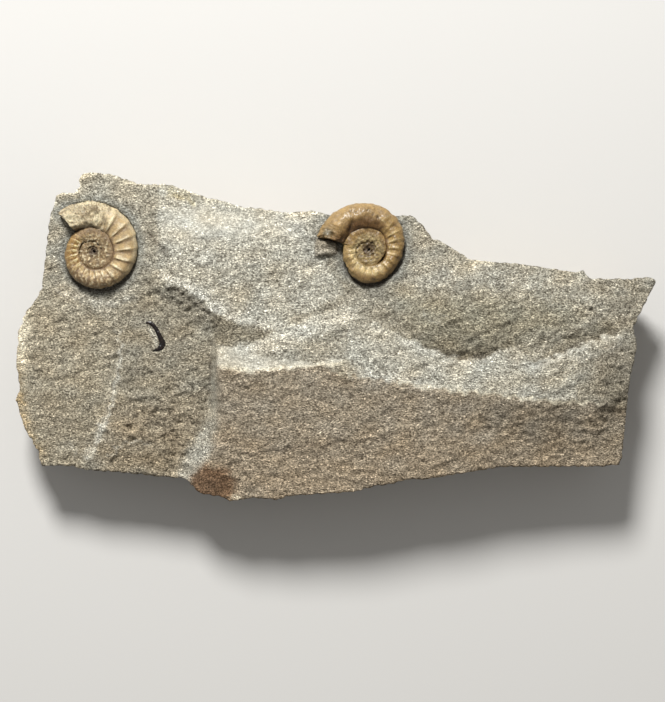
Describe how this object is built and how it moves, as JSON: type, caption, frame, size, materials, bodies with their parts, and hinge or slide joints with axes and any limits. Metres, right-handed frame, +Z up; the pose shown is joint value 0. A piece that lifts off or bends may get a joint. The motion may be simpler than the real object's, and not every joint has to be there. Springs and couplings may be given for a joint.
{
  "type": "fossil promicroceras ammonite cluster",
  "caption": "Broken slab of grey limestone lying on its flat back, with ribbed, coiled golden ammonite fossils standing out of its upper face.",
  "frame": {"origin": "on the flat back of the slab, under the centre of its outline", "axes": "+X along the slab's length towards its narrow pointed end, +Y across it towards the edge with the ammonites, +Z up out of the fossil face"},
  "size_m": [0.156, 0.08, 0.0252],
  "materials": {
    "limestone": "rough, sandy, broken",
    "golden_calcite": "satin, ribbed",
    "amber_calcite": "glossy, worn",
    "black_shell": "glossy"
  },
  "bodies": {
    "root": {"matrix_slab": "limestone", "ammonite_left": "golden_calcite", "ammonite_right": "amber_calcite", "black_shell_sliver": "black_shell"}
  },
  "joints": []
}
